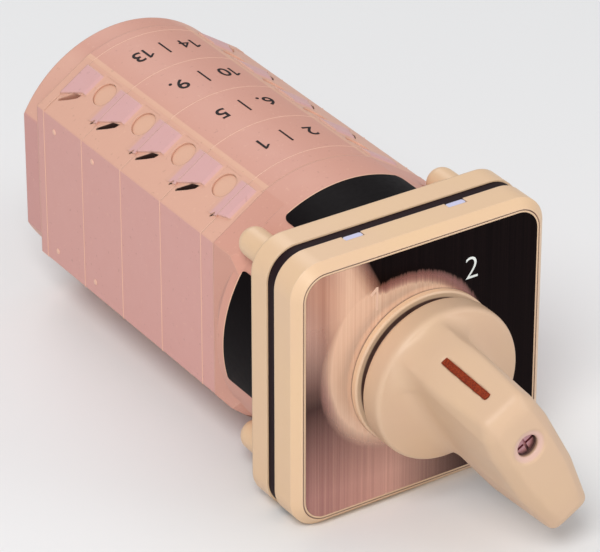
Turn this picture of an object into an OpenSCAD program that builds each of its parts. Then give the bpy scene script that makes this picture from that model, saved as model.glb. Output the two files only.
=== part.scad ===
// Rotary cam switch for panel mounting, with four switching stages behind the panel.
// X points right and Z up as seen from the front. The handle points towards -Y.
// The origin is the centre of the panel's mounting plane: the front face of the rear flange.
// In the outlines x is X and y is Z, seen from the front. In the turned profiles x is the
// radius and y the distance in front of the panel plane.

/* [Front frame] */
// Width and height of the square front frame
frame_w = 64; // [60:1:72]
// Depth of the front frame
frame_t = 8; // [7:0.5:10]
// Radius of the corners of frame, gasket and flange
frame_r = 7.5; // [6:0.5:9]
// Depth of the bevel round the front edge
bevel = 1.9; // [1:0.1:2.4]
// Width and depth of the groove that sets the bevel off from the lip round the plate
rim_groove = 0.3; // [0.2:0.05:0.4]
// Distance between neighbouring fixing holes
hole_pitch = 48; // [46:1:52]
// Radius of the fixing holes
hole_r = 2.15; // [1.7:0.05:2.4]
// Width of each snap notch in the top and bottom edge of the frame
notch_w = 4.8; // [3:0.2:6]
// Distance of the snap notches from the middle
notch_x = 13; // [10:0.5:18]

/* [Legend plate] */
// Width and height of the legend plate
plate_w = 58.6; // [56:0.2:58.8]
// Thickness of the legend plate
plate_t = 1; // [0.8:0.1:1.5]
// Radius of the plate's corners
plate_r = 5; // [3:0.5:6]

/* [Gasket and flange] */
// Thickness of the gasket in front of the panel
gasket_t = 3; // [2:0.5:4]
// How far the gasket stays inside the frame's outline
gasket_inset = 0.45; // [0.2:0.05:1]
// Thickness of the flange behind the panel
flange_t = 5.75; // [4.5:0.25:7]
// Radius of the fixing bosses on the flange
boss_r = 3.5; // [3.2:0.1:3.8]
// Length of the fixing bosses behind the flange
boss_len = 14.2; // [10:0.2:18]

/* [Body] */
// Radius of the body
body_r = 31; // [30:0.25:32]
// Width of the body between its side flats
body_w = 53.6; // [53:0.2:56]
// Height at which the side flats end and the terminal faces begin
flat_z = 19; // [18:0.25:20]
// Half width of the numbered top and bottom
rib_x = 13.5; // [12.5:0.25:14]
// Length of the detent housing behind the flange
drum_len = 23.4; // [22:0.2:26]
// Visible thickness of the spacer block behind the detent housing
block_t = 5.05; // [4:0.25:7]
// Length of one switching stage
stage_pitch = 16.85; // [16.5:0.05:18]
// Number of switching stages
stages = 4; // [1:1:4]
// Thickness of the plate behind the last stage
rear_plate_t = 2.9; // [2.5:0.1:4]
// Thickness of the rear cap
rear_cap_t = 6.3; // [5.5:0.1:8]
// Radius of the rear cap
rear_cap_r = 30.3; // [29.5:0.1:31]

/* [Terminals] */
// Radius of the screw wells in the terminal faces
well_r = 3.1; // [2.9:0.05:3.3]
// Depth of the screw wells
well_depth = 5; // [4.6:0.1:5.4]
// Distance of the wells from the upper edge of the terminal face
well_s = 4.6; // [4.2:0.1:4.8]
// Distance of the contact plane behind the front of its stage
contact_y = 5.5; // [5.4:0.05:6.2]
// Height of the ledge above each wire entry
ledge = 0.4; // [0.2:0.1:0.6]

/* [Switching] */
// Angle between the two switch positions
throw = 60; // [60:60:60]
// Lift of the cams
lift = 2.2; // [1.6:0.1:2.4]
// Radius of the low part of the cams
cam_in_r = 8.3; // [8:0.1:8.6]
// Thickness of the cam discs
cam_t = 6; // [5:0.25:6.5]
// Side of the square shaft
shaft_w = 7; // [6:0.25:7.4]
// Clearance between pieces that slide or turn past each other
run_gap = 0.25; // [0.2:0.05:0.3]
// Wire radius of the contact springs
wire_r = 0.35; // [0.3:0.05:0.45]
// Turns of each contact spring
turns = 4.5; // [3.5:0.5:5]

/* [Knob] */
// Radius of the knob's round base
knob_r = 17.9; // [17:0.1:19]
// Height of the front of the handle above the legend plate
handle_h = 39; // [36:0.5:42]
// Height of the round base above the legend plate
base_h = 12.6; // [12:0.2:13.4]
// Length of the handle from the axis to its tail
tail_len = 29; // [27:0.5:31]
// Length of the handle from the axis to its pointer end
nose_len = 15.9; // [15.25:0.25:16.25]
// Radius of the round collar behind the knob
collar_r = 18; // [17:0.1:18.5]
// Width of the coloured stripe
stripe_w = 1.65; // [1.2:0.05:2]

/* [Hidden] */
$fn = 96;
// Radial gap of the parts that turn in a round bearing
bearing_gap = 0.05;
// Play between pieces that are pushed into each other
fit = 0.05;
// Overlap that keeps two cutting or joined shapes from ending on one plane
eps = 0.01;

// Places along the axis
panel_front = -gasket_t;
face_y = -(gasket_t + frame_t);
plate_back = face_y + plate_t;
drum_y0 = flange_t;
drum_y1 = drum_y0 + drum_len;
stack_y0 = drum_y1 + block_t;
stack_y1 = stack_y0 + stages * stage_pitch;
rear_plate_y1 = stack_y1 + rear_plate_t;
rear_y = rear_plate_y1 + rear_cap_t;

// Bare labels on the detent housing
label_len = 12.8;
label_t = 0.2;
top_label_mid = -2.5;
top_label_half = 28.5;
side_label_mid = -81;
side_label_half = 24.5;
drum_round = label_len + 2.7;

// Walls
frame_wall = 2.2;
plate_floor = 1.6;
lip_t = 0.35;
lip_w = plate_w + 2 * (fit + lip_t);
drum_wall = 3.2;
stage_chamber = 2 * contact_y;

// Terminal faces: they slope from the numbered arc down to the side flats
half_w = body_w / 2;
rib_z = sqrt(body_r * body_r - rib_x * rib_x);
slope = atan2(rib_z - flat_z, half_w - rib_x);
face_len = (half_w - rib_x) / cos(slope);
well_x = rib_x + well_s * cos(slope);
well_z = rib_z - well_s * sin(slope);
seat_x = well_x - well_depth * sin(slope);
seat_z = well_z - well_depth * cos(slope);
corner_r = sqrt(half_w * half_w + flat_z * flat_z);
ledge_inset = 1.4;
ledge_len = 6.1;
ledge_drop = 1.3;
ledge_ramp = 3.75;
ledge_low = 11;
valley_depth = 0.1;
slot_depth = 3.2;
cover_t = 1;
cover_sink = 0.5;

// Contacts: the bridge lies on two fixed contacts, and the cam lifts it off them
contact_z = 14.6;
strip_t = 1.2;
strip_w = 5;
contact_gap = 0.2;
bridge_t = 1.4;
bridge_half = 10.4;
rivet_x = 9;
rivet_r = 1.4;
rivet_t = 0.5;
bridge_z = contact_z + rivet_t + contact_gap + rivet_t;
head_half = 4;
head_wall = 1.1;
head_t = 2;
nose_r = 1.2;
stem_half = 2;
channel_z = 26;
cam_out_r = cam_in_r + lift;
cam_hub_r = 6.4;
chamber_r = cam_out_r + 0.6;
foot_in = 7.4;
foot_out = seat_x + 2.6;

// Detent
star_r = 11.4;
star_wave = 1.1;
star_t = 7;
star_y = drum_y0 + drum_wall + 1.3;
plunger_half = 3.2;
plunger_tip_r = 1.8;
plunger_len = 6.5;
plunger_z = star_r + star_wave + run_gap + plunger_tip_r;
detent_r = star_r + star_wave + 0.7;
detent_channel_z = 27.4;
plug_y = star_y + star_t + 0.5;

// Tie rods
rod_x = 20.6;
rod_r = 1.9;
rod_head_r = 3.4;
rod_head_t = 2.4;
rod_y0 = drum_y0 + drum_wall + 2;

// Shaft and knob
journal_r = 5.6;
gasket_hole_r = journal_r + 1.8;
shaft_reach = handle_h - 12;
shaft_front = face_y - shaft_reach;
screw_r = 1.5;
screw_head_r = 2.4;
screw_head_t = 1.6;
dimple_r = 4;
dimple_t = 0.4;
screw_recess = 2;
handle_foot = 13.3;
rim_h = 10.3;

STAGES = [for (k = [1 : stages]) k];
SIDES = [["upper", 1], ["lower", -1]];

// Colours
cream = "#e3c29c";
salmon = "#d9a293";
black = "#171215";
gasket_colour = "#2c2126";
plate_colour = "#2a1a18";
brass = "#c9a45a";
steel = "#b9b6b4";
stripe_colour = "#8a3a22";
white_part = "#e8e2d8";

// Front of stage k, counted from the panel
function stage_y(k) = stack_y0 + (k - 1) * stage_pitch;

// Extrudes an outline seen from the front between two places along the axis
module along_y(y0, y1)
    translate([0, y1, 0])
        rotate([90, 0, 0])
            linear_extrude(y1 - y0)
                children();

// Turns a profile of radius and distance in front of the panel plane about the switch axis
module turned()
    rotate([90, 0, 0])
        rotate_extrude()
            children();

// Round bar along the switch axis
module bar_y(r, y0, y1)
    translate([0, y1, 0])
        rotate([90, 0, 0])
            cylinder(r = r, h = y1 - y0);

module rounded_square(w, r) {
    square([w, w - 2 * r], center = true);
    square([w - 2 * r, w], center = true);
    four_corners(w / 2 - r)
        circle(r);
}

// Copies the children to the four corners of a square
module four_corners(half)
    for (x = [-half, half], z = [-half, half])
        translate([x, z])
            children();

// Copies the children to the four fixing holes
module at_holes()
    for (x = [-hole_pitch / 2, hole_pitch / 2], z = [-hole_pitch / 2, hole_pitch / 2])
        translate([x, 0, z])
            children();

module mirrored_x() {
    children();
    mirror([1, 0, 0])
        children();
}

module mirrored_z() {
    children();
    mirror([0, 0, 1])
        children();
}

// Point on the upper right terminal face: distance from the rib and height over the face
function on_face(along, over) = [
    rib_x + along * cos(slope) + over * sin(slope),
    rib_z - along * sin(slope) + over * cos(slope)
];

// Outline of the upper right quarter from the side flat to the rib, with or without the ledge
function quarter(with_ledge) = concat(
    [[half_w, flat_z]],
    with_ledge ? [on_face(face_len, ledge), on_face(ledge_inset, ledge), on_face(ledge_inset, 0)] : [],
    [[rib_x, rib_z]]
);

function turned_over(points, sx, sz) = [for (p = points) [sx * p[0], sz * p[1]]];

function reversed(points) = [for (i = [len(points) - 1 : -1 : 0]) points[i]];

// Section of the body: an arc above and below, terminal faces and side flats
module stage_section(with_ledge = false) {
    q = quarter(with_ledge);
    polygon(concat(
        q, reversed(turned_over(q, -1, 1)), turned_over(q, -1, -1), reversed(turned_over(q, 1, -1))
    ));
    intersection() {
        circle(body_r);
        square([2 * rib_x, 2 * body_r + 2], center = true);
    }
}

module flatted_circle(r)
    intersection() {
        circle(r);
        square([body_w, 2 * r + 2], center = true);
    }

// Square block with round corners and a bevel round its front edge
module bevelled_block(w, r, t, b) {
    core = w / 2 - r;
    for (x = [-core, core], z = [-core, core])
        translate([x, 0, z])
            turned()
                polygon([[0, 0], [r, 0], [r, t - b], [r - b, t], [0, t]]);
    for (a = [0, 90])
        rotate([0, a, 0])
            translate([-core, 0, 0])
                rotate([90, 0, 90])
                    linear_extrude(2 * core)
                        polygon([
                            [0, w / 2], [b - t, w / 2], [-t, w / 2 - b],
                            [-t, b - w / 2], [b - t, -w / 2], [0, -w / 2]
                        ]);
}

// Front frame, a bevelled tray that holds the legend plate and snaps onto the flange
module front_frame()
    color(cream)
        difference() {
            translate([0, panel_front, 0])
                bevelled_block(frame_w, frame_r, frame_t, bevel);
            along_y(face_y - 1, plate_back)
                rounded_square(plate_w + 2 * fit, plate_r + fit);
            along_y(face_y - 1, face_y + rim_groove)
                difference() {
                    rounded_square(lip_w + 2 * rim_groove, plate_r + rim_groove + lip_t);
                    rounded_square(lip_w, plate_r + lip_t);
                }
            along_y(plate_back + plate_floor, panel_front + 1)
                difference() {
                    rounded_square(frame_w - 2 * frame_wall, frame_r - frame_wall);
                    circle(collar_r);
                    four_corners(hole_pitch / 2)
                        circle(hole_r + 2);
                }
            bar_y(journal_r + run_gap, face_y - 1, panel_front + 1);
            at_holes()
                bar_y(hole_r, plate_back + 0.6, panel_front + 1);
            for (side = [-1, 1], x = [-notch_x, notch_x])
                translate([x - notch_w / 2, panel_front - 1.8, side * frame_w / 2 - 1.2])
                    cube([notch_w, 1.8 + eps, 2.4]);
        }

module legend_plate()
    color(plate_colour)
        difference() {
            along_y(face_y, plate_back)
                rounded_square(plate_w, plate_r);
            bar_y(journal_r + run_gap, face_y - 1, plate_back + 1);
        }

module gasket()
    color(gasket_colour)
        along_y(panel_front, 0)
            difference() {
                rounded_square(frame_w - 2 * gasket_inset, frame_r - gasket_inset);
                circle(gasket_hole_r);
                four_corners(hole_pitch / 2)
                    circle(hole_r);
            }

// Flange behind the panel, with a fixing boss at each corner
module mounting_flange()
    color(cream)
        difference() {
            union() {
                along_y(0, flange_t)
                    rounded_square(frame_w, frame_r);
                at_holes()
                    rotate([-90, 0, 0])
                        rotate_extrude()
                            boss_profile(boss_r - 0.3);
            }
            at_holes()
                bar_y(hole_r, -1, flange_t + boss_len - boss_r);
            bar_y(journal_r + bearing_gap, -1, flange_t + 1);
        }

// Boss profile with a domed free end
module boss_profile(tip)
    intersection() {
        union() {
            square([boss_r, flange_t + boss_len - tip]);
            square([boss_r - tip, flange_t + boss_len]);
            translate([boss_r - tip, flange_t + boss_len - tip])
                circle(tip);
        }
        square([boss_r, flange_t + boss_len]);
    }

// Hollow of the detent mechanism, seen from the front
module detent_hollow(gap = 0) {
    circle(detent_r - gap);
    square([2 * (plunger_half + run_gap - gap), 2 * (detent_channel_z - gap)], center = true);
}

// Turned outline that lets the flats and terminal faces begin behind the labels
function flats_limit() = [
    [0, -(drum_y0 + 0.5)],
    [body_r - 0.3, -(drum_y0 + 0.5)],
    [body_r - 0.3, -(drum_y0 + label_len - 0.6)],
    [corner_r + 1, -(drum_y0 + label_len + 5.6)],
    [corner_r + 1, -(drum_y1 + 1)],
    [0, -(drum_y1 + 1)]
];

// Detent housing: round behind the flange, and cut to the side flats towards the stages
module detent_housing()
    color(salmon)
        difference() {
            union() {
                intersection() {
                    along_y(drum_y0 + 1, drum_y1)
                        stage_section();
                    turned()
                        polygon(flats_limit());
                }
                turned()
                    polygon([
                        [0, -drum_y0], [body_r, -drum_y0], [body_r, -(drum_y0 + drum_round)],
                        [half_w - 0.4, -(drum_y1 - 1)], [0, -(drum_y1 - 1)]
                    ]);
            }
            along_y(drum_y0 + drum_wall, drum_y1 + 1)
                detent_hollow();
            bar_y(journal_r + bearing_gap, drum_y0 - 1, drum_y1);
            at_holes()
                bar_y(boss_r + 0.15, drum_y0 - 1, drum_y0 + boss_len + 0.3);
            rod_holes(rod_y0, drum_y1 + 1);
        }

module rod_holes(y0, y1)
    for (x = [-rod_x, rod_x])
        translate([x, 0, 0])
            bar_y(rod_r + fit, y0, y1);

// Block between the detent housing and the first stage, with a plug that closes the detent
module spacer_block()
    color(salmon)
        difference() {
            union() {
                along_y(drum_y1, stack_y0)
                    stage_section(with_ledge = true);
                along_y(plug_y, drum_y1 + eps)
                    detent_hollow(fit);
            }
            block_ledge();
            bar_y(cam_hub_r + run_gap, plug_y - 1, stack_y0 + 1);
            rod_holes(plug_y - 1, stack_y0 + 1);
        }

// The block carries the front end of the first stage's ledge: cut at the front and below
module block_ledge()
    on_faces(1) {
        translate([ledge_inset - 0.6, 0, 0])
            rotate([90, 0, 90])
                linear_extrude(face_len - ledge_inset + 2)
                    polygon([
                        [-block_t - 1, ledge + 1], [-block_t - 1, -valley_depth],
                        [1 - block_t, -valley_depth],
                        [1 - block_t + ledge_drop * (1 + 1 / (ledge + valley_depth)), ledge + 1]
                    ]);
        translate([0, 0, -valley_depth])
            linear_extrude(ledge + valley_depth + 1)
                polygon([
                    [ledge_low, 1], [ledge_low - 1.5, 0.4 - block_t], [ledge_low - 1.5, -block_t - 1],
                    [face_len + 2, -block_t - 1], [face_len + 2, 1]
                ]);
    }

// Bare label that lies on the round part of the detent housing
module label(mid, half_angle)
    color(black)
        rotate([0, mid, 0])
            intersection() {
                turned()
                    translate([body_r + fit, -(drum_y0 + label_len)])
                        square([label_t, label_len]);
                along_y(drum_y0, drum_y0 + label_len)
                    polygon([
                        [0, 0],
                        2 * body_r * [-sin(half_angle), cos(half_angle)],
                        2 * body_r * [sin(half_angle), cos(half_angle)]
                    ]);
            }

module label_top()
    label(top_label_mid, top_label_half);

module label_side()
    label(side_label_mid, side_label_half);

// Star wheel with six notches, one every 60 degrees
module star_wheel()
    color(white_part)
        difference() {
            along_y(star_y, star_y + star_t)
                polygon([
                    for (a = [0 : 5 : 355])
                        let (r = star_r - star_wave * cos(6 * (a - 90)))
                        [r * cos(a), r * sin(a)]
                ]);
            shaft_hole(star_y - 1, star_y + star_t + 1);
        }

module shaft_hole(y0, y1)
    rotate([0, -throw / 2, 0])
        along_y(y0, y1)
            square(shaft_w + 2 * fit, center = true);

// Spring-loaded plunger with a round tip that faces the star wheel
module detent_plunger(side)
    color(white_part)
        scale_side(side)
            along_y(star_y + 0.3, star_y + star_t - 0.3)
                difference() {
                    union() {
                        translate([0, plunger_z])
                            circle(plunger_tip_r);
                        translate([-plunger_tip_r, plunger_z])
                            square([2 * plunger_tip_r, 2]);
                        translate([-plunger_half, plunger_z + 1.6])
                            square([2 * plunger_half, plunger_len - 1.6]);
                    }
                    translate([-2.1, plunger_z + 3.4])
                        square([4.2, plunger_len]);
                }

// Turns a piece for the upper side over to the lower side
module scale_side(side)
    rotate([0, side > 0 ? 0 : 180, 0])
        children();

module detent_spring(side)
    color(steel)
        scale_side(side)
            translate([0, star_y + star_t / 2, 0])
                coil(1.6, wire_r, plunger_z + 3.4, detent_channel_z, turns);

// Compression spring along Z, swept as one closed tube
module coil(coil_r, r, z0, z1, n) {
    sides = 6;
    steps = 10 * n;
    rise = z1 - z0 - 2 * r - 2 * fit;
    rings = [
        for (i = [0 : steps])
            let (
                a = 360 * n * i / steps,
                pitch_angle = atan2(rise / n, 2 * PI * coil_r),
                c = [coil_r * cos(a), coil_r * sin(a), z0 + r + fit + rise * i / steps],
                out = [cos(a), sin(a), 0],
                up = [
                    sin(a) * sin(pitch_angle),
                    -cos(a) * sin(pitch_angle),
                    cos(pitch_angle)
                ]
            )
            [for (j = [0 : sides - 1]) c + r * (cos(360 * j / sides) * out + sin(360 * j / sides) * up)]
    ];
    points = [for (ring = rings, p = ring) p];
    walls = [
        for (i = [0 : steps - 1], j = [0 : sides - 1])
            let (
                k = (j + 1) % sides,
                a = i * sides + j,
                b = i * sides + k
            )
            each [[a, a + sides, b + sides], [a, b + sides, b]]
    ];
    first = [for (j = [0 : sides - 1]) j];
    last = [for (j = [sides - 1 : -1 : 0]) steps * sides + j];
    polyhedron(points, concat(walls, [first, last]), convexity = 8);
}

// Square shaft with a round journal in the flange and one in the rear plate
module shaft()
    color(steel)
        rotate([0, -throw / 2, 0])
            difference() {
                union() {
                    along_y(shaft_front, stack_y1)
                        square(shaft_w, center = true);
                    bar_y(journal_r, face_y - 4, star_y);
                    bar_y(shaft_w / 2, stack_y1 - 1, rear_plate_y1);
                }
                bar_y(screw_r, shaft_front - 1, shaft_front + 9);
            }

// Opening inside a stage: the cam chamber, the contact chambers and the follower channels
module stage_hollow() {
    circle(chamber_r);
    square([2 * (stem_half + run_gap), 2 * contact_z], center = true);
    for (side = [-1, 1]) {
        translate([0, side * (bridge_z + (channel_z - bridge_z) / 2)])
            square([2 * (head_half + run_gap), channel_z - bridge_z], center = true);
        translate([0, side * (contact_z - head_t + (bridge_z - contact_z + head_t) / 2)])
            square([2 * (head_half + run_gap), bridge_z - contact_z + head_t + eps], center = true);
        translate([0, side * (contact_z + (bridge_t + lift + 1.8) / 2)])
            square([2 * (bridge_half + run_gap), bridge_t + lift + 1.8], center = true);
    }
}

// Cross-section of one fixed contact with its terminal seat, upper right
module contact_section(gap = 0) {
    translate([foot_in - gap, contact_z - strip_t - gap])
        square([foot_out - foot_in + 2 * gap, strip_t + 2 * gap]);
    translate([foot_out - strip_t - gap, contact_z - strip_t - gap])
        square([strip_t + 2 * gap, seat_z - contact_z - 0.6 + 2 * gap]);
    translate([seat_x, seat_z])
        rotate(-slope)
            translate([-2.6 - gap, -strip_t - gap])
                square([5.9 + 2 * gap, strip_t + gap]);
}

// Places children on the terminal faces at the screw wells, with +X pointing outwards
module at_well(k)
    mirrored_z()
        mirrored_x()
            translate([well_x, stage_y(k) + contact_y, well_z])
                rotate([0, slope - 90, 0])
                    children();

// Places children on the terminal faces: first axis down the face from the rib, second axis
// backwards from the front of the stage, third axis out of the face
module on_faces(k)
    mirrored_z()
        mirrored_x()
            translate([rib_x, stage_y(k), rib_z])
                rotate([0, slope, 0])
                    children();

// Valley in front of the ledge: down a step from the ledge, and up a ramp to the stage's front
module ledge_valley(k)
    on_faces(k)
        translate([ledge_inset - 0.6, 0, 0])
            rotate([90, 0, 90])
                linear_extrude(face_len - ledge_inset + 2)
                    polygon([
                        [-1, ledge + 1], [-1, ledge + (ledge + valley_depth) / ledge_ramp],
                        [ledge_ramp, -valley_depth],
                        [stage_pitch - ledge_len - ledge_drop, -valley_depth],
                        [stage_pitch - ledge_len + ledge_drop / (ledge + valley_depth), ledge + 1]
                    ]);

// Lower part of the terminal face, which the ledge leaves free along a slanting edge
module ledge_end(k)
    on_faces(k)
        translate([0, 0, -valley_depth])
            linear_extrude(ledge + valley_depth + 1)
                polygon([
                    [ledge_low, -1], [ledge_low + 0.6, ledge_ramp], [7.4, stage_pitch - ledge_len - ledge_drop],
                    [7.4, stage_pitch - ledge_len + 0.3], [ledge_low, stage_pitch + 1],
                    [face_len + 2, stage_pitch + 1], [face_len + 2, -1]
                ]);

module stage_housing(k) {
    y0 = stage_y(k);
    y1 = y0 + stage_pitch;
    mid = y0 + contact_y;
    color(salmon)
        difference() {
            along_y(y0, y1)
                stage_section(with_ledge = true);
            ledge_valley(k);
            ledge_end(k);
            along_y(y0 - 1, y0 + stage_chamber)
                stage_hollow();
            bar_y(cam_hub_r + run_gap, y0, y1 + 1);
            mirrored_z()
                mirrored_x()
                    along_y(mid - strip_w / 2 - fit, mid + strip_w / 2 + fit)
                        contact_section(fit);
            at_well(k) {
                translate([-well_depth, 0, 0])
                    rotate([0, 90, 0])
                        cylinder(r = well_r, h = well_depth + 3);
                translate([-well_depth - 3.4, 0, 0])
                    rotate([0, 90, 0])
                        cylinder(r = screw_r + 0.2, h = 4);
            }
            wire_entries(k);
            rod_holes(y0 - 1, y1 + 1);
        }
}

// Wire entries: a wide slot under each ledge, and a short one near the front of the stage
module wire_entries(k)
    on_faces(k)
        translate([0, 0, -slot_depth])
            linear_extrude(slot_depth + 2) {
                polygon([
                    [7.9, 11.1], [9.1, 11.5], [10.4, 13.1], [12.2, 15.7], [11.7, 16.1],
                    [9.9, 14.6], [8.5, 13.4]
                ]);
                polygon([[10.5, 1.2], [10.8, 0.8], [12, 1.7], [11.7, 2.1]]);
            }

// Cam disc with one raised half, on a hub that meets the next one
module cam(k) {
    mid = stage_y(k) + contact_y;
    color(white_part)
        difference() {
            union() {
                along_y(mid - cam_t / 2, mid + cam_t / 2)
                    polygon([for (a = [0 : 5 : 355]) cam_radius(a) * [cos(a), sin(a)]]);
                bar_y(cam_hub_r, stage_y(k), stage_y(k) + stage_pitch);
            }
            shaft_hole(stage_y(k) - 1, stage_y(k) + stage_pitch + 1);
        }
}

// Cam radius by angle: it rises over one throw ahead of the upper follower and falls over
// one throw ahead of the lower follower
function cam_radius(a) =
    a < 90 ? cam_in_r
    : a < 90 + throw ? cam_in_r + lift * (a - 90) / throw
    : a < 270 ? cam_out_r
    : a < 270 + throw ? cam_out_r - lift * (a - 270) / throw
    : cam_in_r;

// How far a follower stands out at rest: the upper one is in and the lower one is out
function rest_lift(side) = side > 0 ? 0 : lift;

// Places children of the upper side where the follower stands at rest
module at_follower(k, side)
    scale_side(side)
        translate([0, stage_y(k) + contact_y, rest_lift(side)])
            children();

// Follower: a stem with a round nose and a forked head that carries the bridge
module follower(k, side) {
    nose_z = cam_in_r + run_gap + nose_r;
    head_y = strip_w / 2 + 0.15 + head_wall;
    color(white_part)
        at_follower(k, side) {
            along_y(-strip_w / 2, strip_w / 2) {
                translate([0, nose_z])
                    circle(nose_r);
                translate([-nose_r, nose_z])
                    square([2 * nose_r, contact_z - head_t - nose_z + eps]);
                translate([-stem_half, nose_z + 1.2])
                    square([2 * stem_half, contact_z - head_t - nose_z - 1.2 + eps]);
            }
            translate([-head_half, -head_y, contact_z - head_t])
                cube([2 * head_half, 2 * head_y, bridge_z - contact_z + head_t]);
            for (turn = [0, 180])
                rotate([0, 0, turn])
                    translate([-head_half, strip_w / 2 + 0.15, bridge_z - eps])
                        cube([2 * head_half, head_wall, bridge_t + 1]);
        }
}

// Bridge: a copper bar with a contact rivet at each end
module bridge(k, side)
    color(brass)
        at_follower(k, side) {
            translate([-bridge_half, -strip_w / 2, bridge_z])
                cube([2 * bridge_half, strip_w, bridge_t]);
            for (x = [-rivet_x, rivet_x])
                translate([x, 0, bridge_z - rivet_t])
                    cylinder(r = rivet_r, h = rivet_t + eps);
        }

module contact_spring(k, side)
    color(steel)
        scale_side(side)
            translate([0, stage_y(k) + contact_y, 0])
                coil(1.75, wire_r, bridge_z + bridge_t + rest_lift(side), channel_z, turns);

// The four fixed contacts of a stage, each bent from strip, with a rivet under the bridge
module fixed_contacts(k)
    color(brass)
        mirrored_z()
            mirrored_x()
                difference() {
                    union() {
                        along_y(stage_y(k) + contact_y - strip_w / 2,
                                stage_y(k) + contact_y + strip_w / 2)
                            contact_section();
                        translate([rivet_x, stage_y(k) + contact_y, contact_z - eps])
                            cylinder(r = rivet_r, h = rivet_t + eps);
                    }
                    translate([seat_x, stage_y(k) + contact_y, seat_z])
                        rotate([0, slope, 0])
                            translate([0, 0, -4])
                                cylinder(r = screw_r + fit, h = 5);
                }

// Terminal screws in all the wells: cylinder heads with a driving slot
module terminal_screws()
    color(steel)
        for (k = STAGES)
            at_well(k)
                translate([-well_depth, 0, 0])
                    rotate([0, 90, 0])
                        difference() {
                            union() {
                                cylinder(r = 2.6, h = 2);
                                translate([0, 0, -3])
                                    cylinder(r = screw_r, h = 3.5);
                            }
                            translate([-3, -0.35, 1])
                                cube([6, 0.7, 2]);
                        }

// Touch guards: a disc that is pressed into each screw well
module terminal_covers()
    color(salmon)
        for (k = STAGES)
            at_well(k)
                translate([-cover_sink - cover_t, 0, 0])
                    rotate([0, 90, 0])
                        cylinder(r = well_r - fit, h = cover_t);

module rear_plate()
    color(salmon)
        difference() {
            along_y(stack_y1, rear_plate_y1)
                stage_section();
            bar_y(shaft_w / 2 + bearing_gap, stack_y1 - 1, rear_plate_y1 + 1);
            rod_holes(stack_y1 - 1, rear_plate_y1 + 1);
        }

// Rear cap over the heads of the tie rods
module rear_cap()
    color(salmon)
        difference() {
            along_y(rear_plate_y1, rear_y)
                flatted_circle(rear_cap_r);
            for (x = [-rod_x, rod_x])
                translate([x, 0, 0])
                    bar_y(rod_head_r + 0.3, rear_plate_y1 - 1, rear_plate_y1 + rod_head_t + 0.3);
        }

// Long screws that hold the stages to the detent housing
module tie_rods()
    color(steel)
        for (x = [-rod_x, rod_x])
            translate([x, 0, 0])
                difference() {
                    union() {
                        bar_y(rod_r, rod_y0, rear_plate_y1 + eps);
                        bar_y(rod_head_r, rear_plate_y1, rear_plate_y1 + rod_head_t);
                    }
                    translate([-0.5, rear_plate_y1 + 1.2, -rod_head_r - 1])
                        cube([1, 2, 2 * rod_head_r + 2]);
                }

// Stepped collar on the legend plate, under the knob
module collar()
    color(cream)
        turned()
            polygon([
                [journal_r + run_gap, -face_y], [collar_r, -face_y],
                [collar_r, -face_y + 1.4], [collar_r - 0.4, -face_y + 1.7],
                [collar_r - 2.6, -face_y + 1.7], [collar_r - 2.6, -face_y + 2.9],
                [journal_r + run_gap, -face_y + 2.9]
            ]);

// Places the knob's own frame: its first axis is across the handle, its second axis points
// to the pointer end and its third is the height above the legend plate
module knob_frame()
    rotate([0, -throw / 2, 0])
        translate([0, face_y, 0])
            rotate([90, 0, 0])
                children();

// Outline of the handle: half widths at the pointer end, middle and tail
module handle_outline(nose, nose_half, mid_half, tail_half, tail, inset) {
    corner = 1.6;
    offset(r = corner, $fn = 40)
        offset(delta = -(corner + inset))
            polygon([
                [nose_half, nose], [mid_half - 0.6, nose - 4.5], [mid_half, 1],
                [mid_half - 0.4, -13], [tail_half, -tail],
                [-tail_half, -tail], [0.4 - mid_half, -13],
                [-mid_half, 1], [0.6 - mid_half, nose - 4.5], [-nose_half, nose]
            ]);
}

// Handle: one rounded form. It rises out of the round base, and its underside slopes
// forwards from the base's rim to the tail
module handle() {
    edge = 2.6;
    crown_r = 190;
    front_h = handle_h - 1.1;
    hull() {
        translate([0, 0, rim_h - 2.2])
            linear_extrude(eps)
                handle_outline(nose_len + 0.3, 6.5, 7.2, 6.5, knob_r - 1.6, 0);
        translate([0, 0, handle_foot])
            linear_extrude(eps)
                handle_outline(nose_len, 6.9, 7.9, 5.1, tail_len, 0.6);
        translate([0, 0, handle_foot + 0.7])
            linear_extrude(eps)
                handle_outline(nose_len, 6.9, 7.9, 5.1, tail_len, 0);
        for (t = [0 : 15 : 75])
            translate([0, 0, front_h - edge * (1 - sin(t))])
                linear_extrude(eps)
                    handle_outline(11.9, 5.2, 7.6, 5.1, tail_len - 2.6, edge * (1 - cos(t)));
        for (drop = [0, 0.25, 0.6])
            translate([0, 0, handle_h - drop])
                linear_extrude(eps)
                    intersection() {
                        handle_outline(11.9, 5.2, 7.6, 5.1, tail_len - 2.6, edge);
                        translate([0, -6])
                            square([20, 8 + 2 * sqrt(2 * crown_r * drop)], center = true);
                    }
    }
}

// Rim and shallow dome of the knob's base
function dome_profile() = concat(
    [[0, 3.2], [knob_r - 1.6, 3.2], [knob_r - 0.6, 3.6], [knob_r, 4.3]],
    [for (t = [0 : 15 : 75]) [knob_r - 1.7 + 1.7 * cos(t), rim_h - 1.7 + 1.7 * sin(t)]],
    [for (s = [1, 0.75, 0.5, 0.25, 0]) [s * (knob_r - 2), rim_h + (base_h - rim_h) * (1 - s * s)]]
);

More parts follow.
